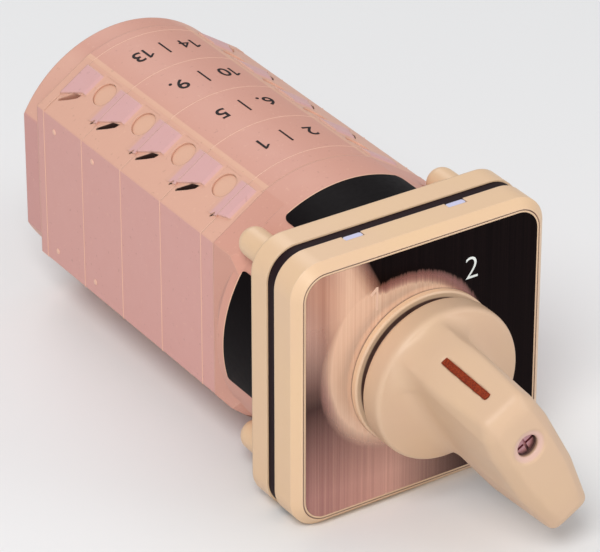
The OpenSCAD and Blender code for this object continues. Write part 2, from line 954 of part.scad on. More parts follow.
module knob()
    color(cream)
        knob_frame()
            difference() {
                union() {
                    rotate_extrude()
                        polygon(dome_profile());
                    handle();
                }
                translate([0, 0, handle_h - dimple_t - 0.1])
                    cylinder(r = dimple_r, h = 3);
                translate([0, 0, handle_h - screw_recess - screw_head_t])
                    cylinder(r = screw_head_r + 0.15, h = 8);
                translate([0, 0, shaft_reach - 7])
                    cylinder(r = screw_r + 0.1, h = handle_h - shaft_reach + 7);
                shaft_socket();
                stripe_form(fit);
            }

// Socket for the shaft: a square seat and a round mouth over the journal
module shaft_socket() {
    translate([-shaft_w / 2 - fit, -shaft_w / 2 - fit, 0])
        cube([shaft_w + 2 * fit, shaft_w + 2 * fit, shaft_reach + fit]);
    cylinder(r = journal_r + fit, h = 4 + fit);
}

// Slot and inlay of the stripe on the sloping pointer face
module stripe_form(gap) {
    lean = atan2(nose_len - 11.9, handle_h - handle_foot - 4.4);
    translate([0, nose_len, handle_foot + 0.7])
        rotate([lean, 0, 0])
            translate([-stripe_w / 2 - gap, -0.8 - gap, 4.6 - gap])
                cube([stripe_w + 2 * gap, 0.8 + gap + (gap > 0 ? 1 : 0), 14 + 2 * gap]);
}

module pointer_insert()
    color(stripe_colour)
        knob_frame()
            stripe_form(0);

// Screw that holds the knob on the shaft
module knob_screw()
    color(steel)
        knob_frame()
            difference() {
                union() {
                    translate([0, 0, handle_h - screw_recess - screw_head_t])
                        cylinder(r = screw_head_r, h = screw_head_t);
                    translate([0, 0, shaft_reach - 8])
                        cylinder(r = screw_r - fit,
                                 h = handle_h - screw_recess - screw_head_t - shaft_reach + 8.1);
                }
                translate([-3, -0.3, handle_h - screw_recess - 0.6])
                    cube([6, 0.6, 2]);
                translate([-0.3, -3, handle_h - screw_recess - 0.6])
                    cube([0.6, 6, 2]);
            }

front_frame();
legend_plate();
gasket();
mounting_flange();
detent_housing();
spacer_block();
label_top();
label_side();
star_wheel();
detent_plunger(1);  // detent_plunger_upper
detent_plunger(-1);  // detent_plunger_lower
detent_spring(1);  // detent_spring_upper
detent_spring(-1);  // detent_spring_lower
shaft();
for (k = STAGES) {
    stage_housing(k);
    cam(k);
    fixed_contacts(k);
    for (s = SIDES) {
        follower(k, s[1]);
        bridge(k, s[1]);
        contact_spring(k, s[1]);
    }
}
terminal_screws();
terminal_covers();
rear_plate();
rear_cap();
tie_rods();
collar();
knob();
pointer_insert();
knob_screw();
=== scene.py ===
# %% [markdown]
# # A rotary cam switch for panel mounting
# The switch has a square front frame with a dark legend plate and a knob. Behind the
# panel sit the flange, the round detent housing and four switching stages. The solids
# come from the imported model. This lesson gives them their finishes and adds what is too
# fine for the solids: printed numbers, seams, pins, snap clips, the labels' round
# corners and the knob's soft blends. It also copies the upper springs.

# %% Load the imported model
import math

import bmesh
import bpy
import numpy as np
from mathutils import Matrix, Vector


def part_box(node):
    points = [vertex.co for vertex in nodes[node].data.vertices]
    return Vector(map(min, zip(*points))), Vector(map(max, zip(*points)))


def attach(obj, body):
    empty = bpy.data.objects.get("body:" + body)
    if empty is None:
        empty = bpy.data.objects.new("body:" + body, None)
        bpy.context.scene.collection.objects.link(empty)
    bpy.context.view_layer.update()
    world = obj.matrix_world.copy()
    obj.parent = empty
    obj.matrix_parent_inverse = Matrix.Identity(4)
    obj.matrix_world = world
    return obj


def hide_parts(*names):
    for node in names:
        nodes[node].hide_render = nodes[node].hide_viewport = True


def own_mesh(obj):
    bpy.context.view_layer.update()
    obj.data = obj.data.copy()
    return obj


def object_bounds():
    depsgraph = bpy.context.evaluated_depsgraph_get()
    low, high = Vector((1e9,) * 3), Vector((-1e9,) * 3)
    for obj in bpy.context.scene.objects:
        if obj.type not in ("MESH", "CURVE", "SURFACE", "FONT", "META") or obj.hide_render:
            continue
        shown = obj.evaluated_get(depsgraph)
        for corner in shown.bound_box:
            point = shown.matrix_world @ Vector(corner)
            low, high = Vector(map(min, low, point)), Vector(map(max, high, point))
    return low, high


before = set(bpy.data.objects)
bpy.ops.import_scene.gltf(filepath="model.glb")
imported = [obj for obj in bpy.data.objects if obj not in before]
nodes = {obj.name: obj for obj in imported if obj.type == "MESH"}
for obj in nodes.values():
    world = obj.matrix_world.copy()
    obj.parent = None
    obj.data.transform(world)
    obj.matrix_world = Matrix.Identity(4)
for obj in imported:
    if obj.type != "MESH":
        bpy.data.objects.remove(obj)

MM = 0.001
cad_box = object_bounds()
scene = bpy.context.scene
scene.view_settings.view_transform = "Standard"
print(len(nodes), "solids, box", [[round(v / MM, 1) for v in corner] for corner in cad_box])

# %% [markdown]
# ## Sizes that the solids and the finishes share
# The body is a round bar with two side flats and four sloping terminal faces. Sizes are
# in millimetres, and places are counted from the switch axis and from the front face of
# the flange. The flats stand at HALF_W and reach up and down to FLAT_Z. From there a
# terminal face slopes up to the rib at RIB_X, where the round top begins. FACE_D is the
# distance from the axis to the plane of that face. The places along the axis could be
# typed too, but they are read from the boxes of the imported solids, so that they follow
# the model.

# %% Sizes of the body
BODY_R = 31.0
HALF_W = 26.8
FLAT_Z = 19.0
RIB_X = 13.5
RIB_Z = math.sqrt(BODY_R ** 2 - RIB_X ** 2)
SLOPE = math.atan2(RIB_Z - FLAT_Z, HALF_W - RIB_X)
FACE_D = RIB_X * math.sin(SLOPE) + RIB_Z * math.cos(SLOPE)
STAGES = 4
STACK_Y0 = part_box("stage_housing_1")[0].y / MM
PITCH = (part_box("stage_housing_1")[1].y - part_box("stage_housing_1")[0].y) / MM
FACE_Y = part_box("legend_plate")[0].y / MM
print("stages from", round(STACK_Y0, 2), "mm, pitch", round(PITCH, 2))
print("terminal faces slope by", round(math.degrees(SLOPE), 1), "degrees")
print("face of the plate at", round(FACE_Y, 2), "mm")

# %% [markdown]
# ## Camera, floor and light
# The switch is seen from the front, from the left and from above. A long lens far away
# keeps the stages nearly parallel. The camera could be given by its place and rotation,
# but two angles and a distance are easier to change one at a time. The two shifts move
# the camera and its aim together, so that the whole switch fills the picture.

# %% Place the camera
AZIMUTH = math.radians(-33.1)
ELEVATION = math.radians(30)
DISTANCE = 850
LENS = 240.9
AIM = (0, -11, 0)
SHIFT_RIGHT = -25.8
SHIFT_UP = 18.8
toward_camera = Vector((
    math.sin(AZIMUTH) * math.cos(ELEVATION),
    -math.cos(AZIMUTH) * math.cos(ELEVATION),
    math.sin(ELEVATION),
))
picture_right = Vector((math.cos(AZIMUTH), math.sin(AZIMUTH), 0))
picture_up = toward_camera.cross(picture_right)
aim = (Vector(AIM) + picture_right * SHIFT_RIGHT + picture_up * SHIFT_UP) * MM
camera_data = bpy.data.cameras.new("camera")
camera_data.lens = LENS
camera_data.clip_start = 0.05
camera = bpy.data.objects.new("camera", camera_data)
camera.location = aim + toward_camera * DISTANCE * MM
camera.rotation_euler = toward_camera.to_track_quat("Z", "Y").to_euler()
scene.collection.objects.link(camera)
scene.camera = camera
print("camera at", [round(v, 3) for v in camera.location])

# %% [markdown]
# The switch stands on the lower edge of its front frame, on a plain pale floor. Bare
# points of light would give hard shadows, so each lamp is a wide disc that faces the
# switch. The key lamp, above and to the left, makes the sloping terminal faces lighter
# than the side flats. A fill lamp, a low one and one behind lighten the shade, and the
# world gives the pale surroundings. The floor and the lamps are placed in metres.

# %% Floor, lamps and world
FLOOR_Z = cad_box[0][2]
FLOOR_HALF = 4.0
FLOOR_GREY = 0.80
WORLD_COLOUR = (0.92, 0.93, 0.95, 1)
WORLD_STRENGTH = 0.55


def add_floor():
    mesh = bpy.data.meshes.new("floor")
    corners = [(x * FLOOR_HALF, y * FLOOR_HALF, FLOOR_Z) for x, y in ((-1, -1), (1, -1), (1, 1), (-1, 1))]
    mesh.from_pydata(corners, [], [(0, 1, 2, 3)])
    obj = bpy.data.objects.new("floor", mesh)
    scene.collection.objects.link(obj)
    mat = bpy.data.materials.new("pale_floor")
    mat.use_nodes = True
    bsdf = mat.node_tree.nodes["Principled BSDF"]
    bsdf.inputs["Base Color"].default_value = (FLOOR_GREY, FLOOR_GREY, FLOOR_GREY, 1)
    bsdf.inputs["Roughness"].default_value = 0.8
    mesh.materials.append(mat)


def add_lamp(name, place, size, power):
    data = bpy.data.lights.new(name, "AREA")
    data.shape = "DISK"
    data.size = size
    data.energy = power
    lamp = bpy.data.objects.new(name, data)
    lamp.location = place
    lamp.rotation_euler = Vector(place).to_track_quat("Z", "Y").to_euler()
    scene.collection.objects.link(lamp)


add_floor()
add_lamp("key_lamp", (-0.55, -0.50, 0.85), size=0.55, power=7.2)
add_lamp("fill_lamp", (0.70, -0.80, 0.45), size=0.60, power=2.6)
add_lamp("low_lamp", (-0.55, -0.80, 0.04), size=0.50, power=1.4)
add_lamp("rear_lamp", (0.20, 0.90, 0.70), size=0.60, power=2.2)
world = bpy.data.worlds.new("studio")
world.use_nodes = True
world.node_tree.nodes["Background"].inputs["Color"].default_value = WORLD_COLOUR
world.node_tree.nodes["Background"].inputs["Strength"].default_value = WORLD_STRENGTH
scene.world = world
print("floor at", round(FLOOR_Z / MM, 2), "mm")

# %% [markdown]
# ## A short way to write materials
# A material is a small network of nodes. Each sum could be a node and two links written
# out, which soon hides what is meant. Wrapping a socket in a class lets sums on values
# be plain Python: `1 - mask` adds the Math node by itself. Every other node comes from
# the function `node`, which takes its type, its settings and its inputs.


# %% The socket class and the node function
class Value:
    def __init__(self, tree, socket):
        self.tree = tree
        self.socket = socket

    def math(self, operation, a, b=0.0):
        return node(self.tree, "ShaderNodeMath", {"operation": operation}, {0: a, 1: b})

    def __add__(self, other):
        return self.math("ADD", self, other)

    def __sub__(self, other):
        return self.math("SUBTRACT", self, other)

    def __rsub__(self, other):
        return self.math("SUBTRACT", other, self)

    def __mul__(self, other):
        return self.math("MULTIPLY", self, other)

    def __truediv__(self, other):
        return self.math("DIVIDE", self, other)

    def __abs__(self):
        return self.math("ABSOLUTE", self)

    __radd__ = __add__
    __rmul__ = __mul__


def node(tree, kind, settings=None, inputs=None, out=0):
    made = tree.nodes.new(kind)
    for key, value in (settings or {}).items():
        if key == "stops":
            for element, (place, grey) in zip(made.color_ramp.elements, value, strict=True):
                element.position = place
                element.color = (grey, grey, grey, 1)
        else:
            setattr(made, key, value)
    for key, value in (inputs or {}).items():
        if isinstance(value, Value):
            tree.links.new(value.socket, made.inputs[key])
        else:
            made.inputs[key].default_value = value
    return Value(tree, made.outputs[out])


print("socket class ready")


# %% [markdown]
# Colours and vectors have their own nodes, because a Math node would turn them grey.
# `rise` is the mask that most zones are made of: it goes from 0 to 1 between two values.
# `axis` gives one coordinate of a point and `around` its distance from the switch axis,
# both in millimetres.


# %% Colours, masks and places
def mix(tree, factor, a, b):
    a, b = [(*c, 1) if isinstance(c, tuple) else c for c in (a, b)]
    return node(tree, "ShaderNodeMix", {"data_type": "RGBA"}, {0: factor, 6: a, 7: b}, out=2)


def noise(tree, place, scale, detail):
    return node(tree, "ShaderNodeTexNoise", None, {"Vector": place, "Scale": scale, "Detail": detail})


def ramp(tree, value, *stops):
    return node(tree, "ShaderNodeValToRGB", {"stops": stops}, {"Fac": value})


def rise(tree, value, low, high):
    limits = {"Value": value, "From Min": low, "From Max": high}
    return node(tree, "ShaderNodeMapRange", {"clamp": True}, limits)


def vector_math(tree, operation, a, b=(0, 0, 0), out="Vector"):
    return node(tree, "ShaderNodeVectorMath", {"operation": operation}, {0: a, 1: b}, out)


def stretched(tree, place, scale):
    return node(tree, "ShaderNodeMapping", None, {"Vector": place, "Scale": scale})


def axis(tree, vector, which):
    return node(tree, "ShaderNodeSeparateXYZ", None, {"Vector": vector}, out=which) / MM


def seen_from_front(tree, place):
    return vector_math(tree, "MULTIPLY", place, (1 / MM, 0, 1 / MM))


def around(tree, place):
    return vector_math(tree, "LENGTH", seen_from_front(tree, place), out="Value")


def srgb(r, g, b):
    return tuple(((c / 255 + 0.055) / 1.055) ** 2.4 if c > 10 else c / 255 / 12.92 for c in (r, g, b))


print("masks ready")


# %% [markdown]
# Every material starts from a cleared network with one Principled shader. It reads
# Object coordinates, so a pattern stays on its piece when the knob turns. World places
# would let the pattern slide over the knob. `feed` links what changes over the surface,
# and `bumped` turns heights into a normal.


# %% Start and end of a material
def new_material(name):
    mat = bpy.data.materials.new(name)
    mat.use_nodes = True
    tree = mat.node_tree
    tree.nodes.clear()
    bsdf = tree.nodes.new("ShaderNodeBsdfPrincipled")
    output = tree.nodes.new("ShaderNodeOutputMaterial")
    tree.links.new(bsdf.outputs[0], output.inputs[0])
    place = node(tree, "ShaderNodeTexCoord", out="Object")
    return mat, tree, bsdf, place


def bumped(tree, strength, depth, heights, **others):
    inputs = {"Strength": strength, "Distance": depth * MM, "Height": heights, **others}
    return node(tree, "ShaderNodeBump", None, inputs)


def feed(tree, bsdf, **inputs):
    for key, value in inputs.items():
        socket = bsdf.inputs[key.replace("_", " ")]
        if isinstance(value, Value):
            tree.links.new(value.socket, socket)
        else:
            socket.default_value = value


print("material helpers ready")

# %% [markdown]
# ## Moulded plastic
# All the housings are moulded thermoplastic. Seen close up it has a fine spark-eroded
# grain, a faint cloudiness, a few dark and pale flecks, and edges that are never quite
# sharp. A painted image could hold all that, but noise needs no unwrapping and stays
# fine from near by. Coordinates are in metres, so a noise scale of 1000 gives marks about
# a millimetre wide. The Bevel node rounds the edges in the shading, which spares
# thousands of small faces. The same node finds the edges, because there its normal
# leaves the true one, and they are painted a little paler, as a painted highlight along
# the edges. A housing with more than one tone passes a function that tints its zones.

# %% Moulded plastic material
CLOUD_SCALE = 45
PATCH_SCALE = 260
FLECK_SCALE = 900
GRAIN_SCALE = 2600
FLECKS_FROM, FLECKS_FULL = 0.66, 0.70
EDGE_STOPS = (0.015, 0.0), (0.12, 1.0)


def moulded_plastic(name, base, cloud, edge, roughness, speck, soft=0.45, zones=None):
    mat, tree, bsdf, place = new_material(name)
    clouds = noise(tree, place, CLOUD_SCALE, 3)
    patches = noise(tree, place, PATCH_SCALE, 4)
    grains = noise(tree, place, GRAIN_SCALE, 2)
    flecks = noise(tree, place, FLECK_SCALE, 5)
    dark_flecks = rise(tree, flecks, FLECKS_FROM, FLECKS_FULL)
    pale_flecks = rise(tree, 1 - flecks, FLECKS_FROM, FLECKS_FULL)
    rounded = node(tree, "ShaderNodeBevel", {"samples": 6}, {"Radius": soft * MM})
    normal = node(tree, "ShaderNodeNewGeometry", out="Normal")
    along = vector_math(tree, "DOT_PRODUCT", rounded, normal, out="Value")
    edges = ramp(tree, 1 - along, *EDGE_STOPS)
    colour = mix(tree, clouds * 0.9, base, cloud)
    if zones:
        colour = zones(tree, place, colour)
    colour = mix(tree, patches * 0.22, colour, cloud)
    colour = mix(tree, dark_flecks * speck, colour, tuple(c * 0.45 for c in base))
    colour = mix(tree, pale_flecks * speck, colour, edge)
    # Painted highlight: the edges that the Bevel node finds are painted paler.
    colour = mix(tree, edges * 0.55, colour, edge)
    rough = roughness + 0.10 * patches - 0.06 * edges
    bump = bumped(tree, 0.35, 0.012, grains + 0.6 * patches, Normal=rounded)
    feed(tree, bsdf, Base_Color=colour, Roughness=rough, Normal=bump)
    return mat


CREAM = srgb(223, 189, 146)
CREAM_CLOUD = srgb(217, 181, 152)
SALMON = srgb(207, 150, 129)
SALMON_CLOUD = srgb(203, 146, 131)
PALE_EDGE = srgb(230, 186, 158)
cream_plastic = moulded_plastic("cream_plastic", CREAM, CREAM_CLOUD, srgb(234, 206, 174),
                                roughness=0.34, speck=0.04)
salmon_plastic = moulded_plastic("salmon_plastic", SALMON, SALMON_CLOUD, PALE_EDGE,
                                 roughness=0.44, speck=0.22)
cover_plastic = moulded_plastic("cover_plastic", srgb(221, 174, 145), srgb(214, 166, 143), PALE_EDGE,
                                roughness=0.40, speck=0.10)
seam_plastic = moulded_plastic("seam_plastic", srgb(230, 184, 160), srgb(222, 176, 156), PALE_EDGE,
                               roughness=0.40, speck=0.05, soft=0.1)
clip_plastic = moulded_plastic("clip_plastic", srgb(206, 204, 228), srgb(188, 186, 216),
                               srgb(226, 226, 240), roughness=0.35, speck=0.0)
white_plastic = moulded_plastic("white_inner_plastic", srgb(232, 226, 216), srgb(222, 214, 204),
                                srgb(240, 236, 228), roughness=0.38, speck=0.0)
print("plastics:", cream_plastic.name, salmon_plastic.name, white_plastic.name)

# %% [markdown]
# ## Tones of the stages
# The stages carry several tones. The round top is salmon, the side flats are mauve, and
# the sloping terminal faces are a yellower tan with lilac ledges. The tan and the mauve
# are partly the plastic's tone and partly painted light: the faces that turn up to the
# light are painted lighter than the flats. A painted highlight runs along each rib, and
# the wire entries are painted dark inside as painted shade, but for the rearmost, which
# light reaches. Separate materials would need cuts in the solids, so each tone is a mask
# on the place in the object: how far out a point is, how high, how far over the terminal
# face and how far down it. RIB_LINE is the width of the painted highlight. LEDGE_DOWN and
# ENTRY_DOWN say how far down from the rib a ledge and a wire entry begin. The rear cap is
# painted a lighter tan on its round sides and a darker mauve on its flats, partly painted
# light and shade as on the stages, while its end stays salmon.

# %% Tones by place
MAUVE = srgb(210, 156, 149)
TAN = srgb(217, 168, 145)
LILAC = srgb(210, 163, 164)
RIB_HIGHLIGHT = srgb(222, 176, 146)
ENTRY_SHADE = srgb(30, 18, 20)
CAP_TAN = srgb(219, 170, 150)
CAP_MAUVE = srgb(199, 143, 139)
RIB_LINE = 1.0
RIB_START = FLAT_Z + 6
LEDGE_DOWN = 1.4
ENTRY_DOWN = 7.7
ENTRY_DEPTH = 0.25
REARMOST_Y = STACK_Y0 + 3.3 * PITCH
CAP_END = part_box("rear_cap")[1].y / MM


def stage_zones(tree, place, colour):
    out = abs(axis(tree, place, "X"))
    high = abs(axis(tree, place, "Z"))
    over = math.sin(SLOPE) * out + math.cos(SLOPE) * high - FACE_D
    down = math.cos(SLOPE) * (out - RIB_X) + math.sin(SLOPE) * (RIB_Z - high)
    on_face = rise(tree, out, RIB_X - 0.1, RIB_X + 0.3) * rise(tree, high, FLAT_Z - 0.3, FLAT_Z + 0.1)
    on_flat = rise(tree, out, HALF_W - 0.3, HALF_W - 0.1) * (1 - rise(tree, high, FLAT_Z - 0.1, FLAT_Z + 0.2))
    on_rib = rise(tree, out, RIB_X - RIB_LINE - 0.1, RIB_X - RIB_LINE + 0.1)
    on_rib = on_rib * (1 - rise(tree, out, RIB_X, RIB_X + 0.3))
    on_rib = on_rib * rise(tree, high, RIB_START, RIB_START + 1)
    ledge = on_face * rise(tree, over, 0.02, 0.14) * rise(tree, down, LEDGE_DOWN - 0.1, LEDGE_DOWN + 0.1)
    deep = on_face * rise(tree, 0 - over, ENTRY_DEPTH - 0.07, ENTRY_DEPTH + 0.07)
    deep = deep * rise(tree, down, ENTRY_DOWN, ENTRY_DOWN + 0.15)
    deep = deep * (1 - rise(tree, axis(tree, place, "Y"), REARMOST_Y, REARMOST_Y + 0.1))
    # Partly painted light: the flats are tinted mauve and the terminal faces a lighter tan.
    colour = mix(tree, on_flat * 0.9, colour, MAUVE)
    colour = mix(tree, on_face * 0.9, colour, TAN)
    colour = mix(tree, ledge * 0.9, colour, LILAC)
    # Painted highlight: a lighter line along each rib.
    colour = mix(tree, on_rib * 0.7, colour, RIB_HIGHLIGHT)
    # Painted shade: the inside of the wire entries is painted dark.
    return mix(tree, deep, colour, ENTRY_SHADE)


def cap_zones(tree, place, colour):
    out = abs(axis(tree, place, "X"))
    beside = 1 - rise(tree, axis(tree, place, "Y"), CAP_END - 0.10, CAP_END - 0.02)
    round_side = beside * rise(tree, out, RIB_X - 2, RIB_X + 2)
    flat_side = beside * rise(tree, out, HALF_W - 0.3, HALF_W - 0.1)
    # Partly painted light and shade: the round sides are tinted a lighter tan, the flats a darker mauve.
    colour = mix(tree, round_side * 0.8, colour, CAP_TAN)
    return mix(tree, flat_side * 0.9, colour, CAP_MAUVE)


stage_plastic = moulded_plastic("stage_plastic", SALMON, SALMON_CLOUD, PALE_EDGE,
                                roughness=0.44, speck=0.22, zones=stage_zones)
cap_plastic = moulded_plastic("cap_plastic", SALMON, SALMON_CLOUD, PALE_EDGE,
                              roughness=0.44, speck=0.22, zones=cap_zones)
print("stage and cap:", stage_plastic.name, cap_plastic.name)

# %% [markdown]
# ## Front frame, collar and knob
# These are cream plastic with dark places where light hardly reaches. Wide lamps leave
# such places too light, so masks deepen them. The frame has a thin dark red groove round
# the plate. It is a rounded square, so its distance is measured as from a square core
# with the corner radius added. The collar is dark in the gap under the knob and in a
# line along its foot. The knob is dark under its rim and in the screw hole, and has a
# rosy tone in the dish over that hole.

# %% Cream plastics with dark gaps
LIP_HALF = 29.7
LIP_R = 5.45
GROOVE_OUT = 0.30, 0.36
GROOVE_RED = srgb(92, 26, 24)
COLLAR_STEP = 1.4
COLLAR_IN = 16.5
FOOT_LINE = 0.20, 0.34
GAP_BROWN = srgb(58, 22, 20)
HANDLE_H = FACE_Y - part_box("knob")[0].y / MM
RECESS_IN = 3.8
KNOB_RIM = 3.6
DISH_ROSE = srgb(214, 176, 166)
HOLE_BROWN = srgb(46, 20, 18)


def frame_zones(tree, place, colour):
    core = LIP_HALF - LIP_R
    size = vector_math(tree, "ABSOLUTE", seen_from_front(tree, place))
    past = vector_math(tree, "SUBTRACT", size, (core, 0, core))
    past = vector_math(tree, "MAXIMUM", past)
    reach = vector_math(tree, "LENGTH", past, out="Value") - LIP_R
    sunk = rise(tree, axis(tree, place, "Y"), FACE_Y + 0.06, FACE_Y + 0.14)
    groove = sunk * (1 - rise(tree, reach, *GROOVE_OUT))
    return mix(tree, groove, colour, GROOVE_RED)


def gap_zones(tree, place, colour):
    height = FACE_Y - axis(tree, place, "Y")
    inside = 1 - rise(tree, around(tree, place), COLLAR_IN, COLLAR_IN + 0.3)
    gap = rise(tree, height, COLLAR_STEP - 0.1, COLLAR_STEP + 0.1) * inside
    foot = 1 - rise(tree, height, *FOOT_LINE)
    return mix(tree, rise(tree, gap + 0.8 * foot, 0, 1), colour, GAP_BROWN)


def knob_zones(tree, place, colour):
    height = FACE_Y - axis(tree, place, "Y")
    near = 1 - rise(tree, around(tree, place), RECESS_IN, RECESS_IN + 0.5)
    dish = near * (1 - rise(tree, height, HANDLE_H - 0.5, HANDLE_H - 0.2))
    dish = dish * rise(tree, height, HANDLE_H - 1, HANDLE_H - 0.8)
    hole = near * (1 - rise(tree, height, HANDLE_H - 1.6, HANDLE_H - 0.8))
    under = 1 - rise(tree, height, KNOB_RIM, KNOB_RIM + 0.5)
    colour = mix(tree, dish * 0.8, colour, DISH_ROSE)
    return mix(tree, rise(tree, hole + under, 0, 1), colour, HOLE_BROWN)


frame_plastic = moulded_plastic("frame_plastic", CREAM, CREAM_CLOUD, srgb(238, 210, 184),
                                roughness=0.34, speck=0.04, soft=0.3, zones=frame_zones)
collar_plastic = moulded_plastic("collar_plastic", CREAM, srgb(216, 180, 158), PALE_EDGE,
                                 roughness=0.34, speck=0.04, soft=0.3, zones=gap_zones)
knob_plastic = moulded_plastic("knob_plastic", srgb(212, 180, 143), srgb(204, 169, 145),
                               srgb(222, 191, 157), roughness=0.42, speck=0.02, soft=0.15,
                               zones=knob_zones)
print("frame, collar and knob:", frame_plastic.name, collar_plastic.name, knob_plastic.name)
print("the handle stands", round(HANDLE_H, 1), "mm over the plate")

# %% [markdown]
# ## Rubber gasket, labels and ink
# The gasket is soft black rubber with a purplish bloom. The labels are bare black foil,
# with a thin pale line along the edge that lies towards the stages. Ink is like them, a
# flat colour with a fine grain. Each could have a network of its own, but one function
# with a few settings makes all four alike. On the left the white ink of the position
# numbers is painted in the pale tone of the knob's reflection on the plate, a painted
# reflection over the ink, so the 1 is hardly seen.

# %% Rubber, label and printing ink
LABEL_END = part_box("label_top")[1].y / MM
LINE_FROM, LINE_FULL = 0.30, 0.25
INK_REFLECTION_ACROSS = -4, 4
INK_UNDER_REFLECTION = srgb(218, 176, 150)
BLOOM_SCALE = 60


def label_zones(tree, place, colour):
    line = rise(tree, axis(tree, place, "Y"), LABEL_END - LINE_FROM, LABEL_END - LINE_FULL)
    return mix(tree, line, colour, PALE_EDGE)


# Painted reflection: on the left the white ink is painted in the pale tone of the knob's reflection on the
# plate.
def worn_zones(tree, place, colour):
    under_reflection = 1 - rise(tree, axis(tree, place, "X"), *INK_REFLECTION_ACROSS)
    return mix(tree, under_reflection * 0.92, colour, INK_UNDER_REFLECTION)


def flat_finish(name, base, bloom, roughness, depth, scale, gloss, zones=None):
    mat, tree, bsdf, place = new_material(name)
    fine = noise(tree, place, scale, 3)
    broad = noise(tree, place, BLOOM_SCALE, 3)
    colour = mix(tree, broad * 0.8, base, bloom)
    if zones:
        colour = zones(tree, place, colour)
    bsdf.inputs["Specular IOR Level"].default_value = gloss
    bump = bumped(tree, 0.4, depth, fine)
    feed(tree, bsdf, Base_Color=colour, Roughness=roughness + 0.15 * fine, Normal=bump)
    return mat


gasket_rubber = flat_finish("gasket_rubber", srgb(22, 10, 14), srgb(42, 23, 29),
                            roughness=0.55, depth=0.03, scale=1800, gloss=0.12)
label_foil = flat_finish("label_foil", srgb(6, 2, 3), srgb(13, 6, 8),
                         roughness=0.42, depth=0.01, scale=900, gloss=0.05, zones=label_zones)
black_ink = flat_finish("black_ink", srgb(16, 8, 10), srgb(28, 16, 18),
                        roughness=0.5, depth=0.01, scale=3000, gloss=0.2)
white_ink = flat_finish("white_ink", srgb(232, 236, 232), srgb(214, 220, 216),
                        roughness=0.40, depth=0.01, scale=3000, gloss=0.5, zones=worn_zones)
print("flat finishes:", gasket_rubber.name, label_foil.name, black_ink.name, white_ink.name)

# %% [markdown]
# ## Legend plate
# The plate is dark anodised metal, glossy and brushed from top to bottom. The marks
# could be cut as real grooves, but they are finer than a hair, so they are noise that is
# squeezed across and stretched along Z, in three widths. At the lower left and in the
# upper left corner the black is painted rose, a painted reflection. A pale painted
# reflection of the knob lies round it, as a disc a little wider than the collar, and runs
# up from it in a column. Where this painted reflection ends on the black, its edge is
# painted wine red. Where the knob's reflection is painted, the plate is also made less
# metallic, so that it shows pale. Each pair of places in millimetres says where a tone
# starts and where it is full.

# %% Brushed plate material
BRUSHES = ((5200, 22), (1500, 8), (420, 4))
KNOB_REFLECTION_X, KNOB_REFLECTION_Z = -5, 3
KNOB_REFLECTION_RADII = 17.8, 21.0
SLANT_Z = 18
LOW_RIGHT = -8, 27
LOW_DOWN = -2, 24
CORNER_UP = -2, 18
CORNER_SLANT = -15, -8
COLUMN_UP = 6, 16
COLUMN_RIGHT = -25, -19
COLUMN_SLANT = -13, -8
ROSE_RIGHT = -27, -6
PLATE_BLACK = srgb(14, 8, 9), srgb(28, 18, 18)
PLATE_REFLECTION_ROSE = srgb(170, 122, 118), srgb(236, 188, 172)
PLATE_REFLECTION_PALE = srgb(220, 178, 152), srgb(236, 200, 172)
REFLECTION_FRINGE_RED = srgb(150, 84, 92)


def brushed_plate(name):
    mat, tree, bsdf, place = new_material(name)
    fine, middle, wide = [
        noise(tree, stretched(tree, place, (across, 1, along)), 1.0, 2) for across, along in BRUSHES
    ]
    marks = 0.55 * fine + 0.30 * middle + 0.15 * wide
    right = axis(tree, place, "X")
    high = axis(tree, place, "Z")
    slanted = right + 0.5 * (high - SLANT_Z)
    # Painted reflection: the lower edge and the upper left corner are painted rose instead of black.
    fading = 1 - rise(tree, right, *LOW_RIGHT)
    low_reflection = rise(tree, 0 - high, *LOW_DOWN) * fading * fading
    corner_reflection = rise(tree, high, *CORNER_UP) * (1 - rise(tree, slanted, *CORNER_SLANT))
    # Painted reflection of the knob: a pale disc round it and a column above it, with a wine red fringe where
    # it ends on the black.
    from_middle = node(tree, "ShaderNodeCombineXYZ", None, {"X": right - KNOB_REFLECTION_X, "Y": high - KNOB_REFLECTION_Z})
    reach = vector_math(tree, "LENGTH", from_middle, out="Value")
    disc = 1 - rise(tree, reach + 3 * (marks - 0.5), *KNOB_REFLECTION_RADII)
    column = rise(tree, high, *COLUMN_UP) * rise(tree, right, *COLUMN_RIGHT)
    column = column * (1 - rise(tree, slanted, *COLUMN_SLANT))
    knob_reflection = rise(tree, disc + 0.6 * column + 0.35 * corner_reflection, 0, 1)
    fringe = rise(tree, knob_reflection * (1 - knob_reflection), 0.02, 0.25) * (1 - rise(tree, low_reflection + corner_reflection, 0, 0.5))
    lighter = 0.4 * rise(tree, marks, 0.38, 0.62) + 0.6 * rise(tree, right, *ROSE_RIGHT)
    black = mix(tree, rise(tree, marks, 0.36, 0.66), *PLATE_BLACK)
    rose = mix(tree, lighter, *PLATE_REFLECTION_ROSE)
    pale = mix(tree, rise(tree, marks, 0.36, 0.60), *PLATE_REFLECTION_PALE)
    colour = mix(tree, low_reflection + corner_reflection, black, rose)
    colour = mix(tree, knob_reflection * 0.92, colour, pale)
    colour = mix(tree, fringe * 0.55, colour, REFLECTION_FRINGE_RED)
    bump = bumped(tree, 0.22, 0.003, marks)
    # Where the knob's reflection is painted, the plate is made less metallic so that it shows pale.
    feed(tree, bsdf, Base_Color=colour, Metallic=1 - 0.8 * knob_reflection, Roughness=0.16 + 0.16 * marks, Normal=bump)
    return mat


plate_metal = brushed_plate("brushed_plate")
print("plate:", plate_metal.name)

# %% [markdown]
# ## Pointer stripe and inner metals
# The stripe is a granular red-brown inlay: a fine noise, cut off by a ramp, gives its
# dots. Inside, the contacts are brass, and the screws and the shaft plated steel. Hardly
# anything of them is seen, so slight scratches and cloudy plating are enough. Only the
# knob's screw is seen well, and its steel is painted rosy, a painted reflection of its recess.

